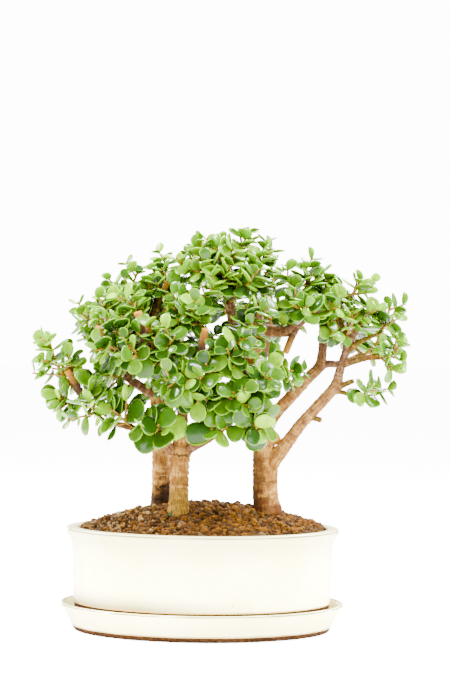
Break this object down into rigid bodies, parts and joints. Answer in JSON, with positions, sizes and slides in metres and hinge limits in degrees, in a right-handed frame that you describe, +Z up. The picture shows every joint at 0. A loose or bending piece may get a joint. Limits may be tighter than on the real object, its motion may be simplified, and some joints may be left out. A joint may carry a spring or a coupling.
{
  "type": "potted jade plant",
  "caption": "Bonsai grove of jade trees with round glossy leaves, in a cream glazed oval pot with granular soil, standing in a matching oval drip tray.",
  "frame": {"origin": "on the ground, under the middle of the drip tray", "axes": "+X along the pot's length, +Y from the front that shows the limbs to the back, +Z up"},
  "size_m": [0.3633, 0.22, 0.3899],
  "materials": {
    "cream_glaze": "glossy cream glaze, bare clay at the feet",
    "clay_granules": "dry baked clay granules",
    "jade_bark": "dry ringed bark",
    "jade_leaf": "waxy glossy leaf",
    "black_plastic": "moulded"
  },
  "bodies": {
    "root": {"back_spray_01": "jade_leaf", "back_spray_02": "jade_leaf", "back_spray_03": "jade_leaf", "back_spray_04": "jade_leaf", "back_spray_05": "jade_leaf", "back_spray_06": "jade_leaf", "back_spray_07": "jade_leaf", "back_spray_08": "jade_leaf", "back_spray_09": "jade_leaf", "back_spray_10": "jade_leaf", "back_spray_11": "jade_leaf", "back_spray_12": "jade_leaf", "back_trunk_and_limbs": "jade_bark", "drain_guard_left": "black_plastic", "drain_guard_right": "black_plastic", "drip_tray": "cream_glaze", "front_spray_01": "jade_leaf", "front_spray_02": "jade_leaf", "front_spray_03": "jade_leaf", "front_spray_04": "jade_leaf", "front_spray_05": "jade_leaf", "front_spray_06": "jade_leaf", "front_spray_07": "jade_leaf", "front_spray_08": "jade_leaf", "front_spray_09": "jade_leaf", "front_spray_10": "jade_leaf", "front_spray_11": "jade_leaf", "front_spray_12": "jade_leaf", "front_spray_13": "jade_leaf", "front_spray_14": "jade_leaf", "front_spray_15": "jade_leaf", "front_spray_16": "jade_leaf", "front_trunk_and_limbs": "jade_bark", "pot": "cream_glaze", "right_spray_01": "jade_leaf", "right_spray_02": "jade_leaf", "right_spray_03": "jade_leaf", "right_spray_04": "jade_leaf", "right_spray_05": "jade_leaf", "right_spray_06": "jade_leaf", "right_spray_07": "jade_leaf", "right_spray_08": "jade_leaf", "right_spray_09": "jade_leaf", "right_spray_10": "jade_leaf", "right_spray_11": "jade_leaf", "right_spray_12": "jade_leaf", "right_spray_13": "jade_leaf", "right_spray_14": "jade_leaf", "right_spray_15": "jade_leaf", "right_spray_16": "jade_leaf", "right_spray_17": "jade_leaf", "right_spray_18": "jade_leaf", "right_spray_19": "jade_leaf", "right_spray_20": "jade_leaf", "right_spray_21": "jade_leaf", "right_spray_22": "jade_leaf", "right_spray_23": "jade_leaf", "right_trunk_and_limbs": "jade_bark", "soil": "clay_granules"}
  },
  "joints": []
}
